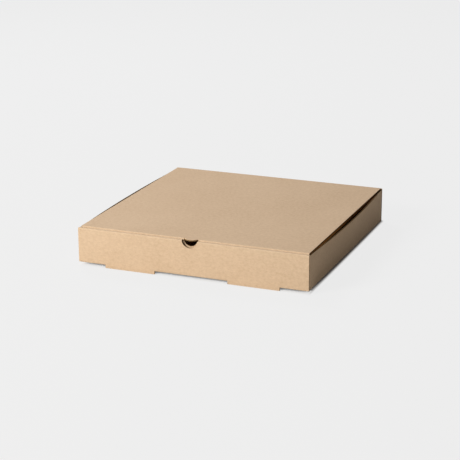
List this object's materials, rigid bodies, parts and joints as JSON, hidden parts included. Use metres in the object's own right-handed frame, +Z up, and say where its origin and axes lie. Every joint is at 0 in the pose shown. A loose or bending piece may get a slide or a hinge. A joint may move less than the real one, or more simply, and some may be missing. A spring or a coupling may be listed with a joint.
{
  "type": "pizza box",
  "caption": "Plain kraft corrugated pizza box, closed, with a roll-over front wall on locking feet, a thumb notch and a hinged lid that tucks in behind the front wall.",
  "frame": {"origin": "on the ground under the centre of the box, at the level of the undersides of the two front feet", "axes": "+X to the right along the front wall, +Y from the front wall to the hinge, +Z up"},
  "size_m": [0.314, 0.305, 0.0497],
  "materials": {
    "kraft_board": "matte"
  },
  "bodies": {
    "tray": {"tray": "kraft_board"},
    "lid": {"lid": "kraft_board"}
  },
  "joints": [
    {"name": "lid_hinge", "type": "hinge", "parent": "tray", "child": "lid", "pos_m": [0, 0.1525, 0.0497], "axis": [-1, 0, 0], "range_deg": [0, 180]}
  ]
}
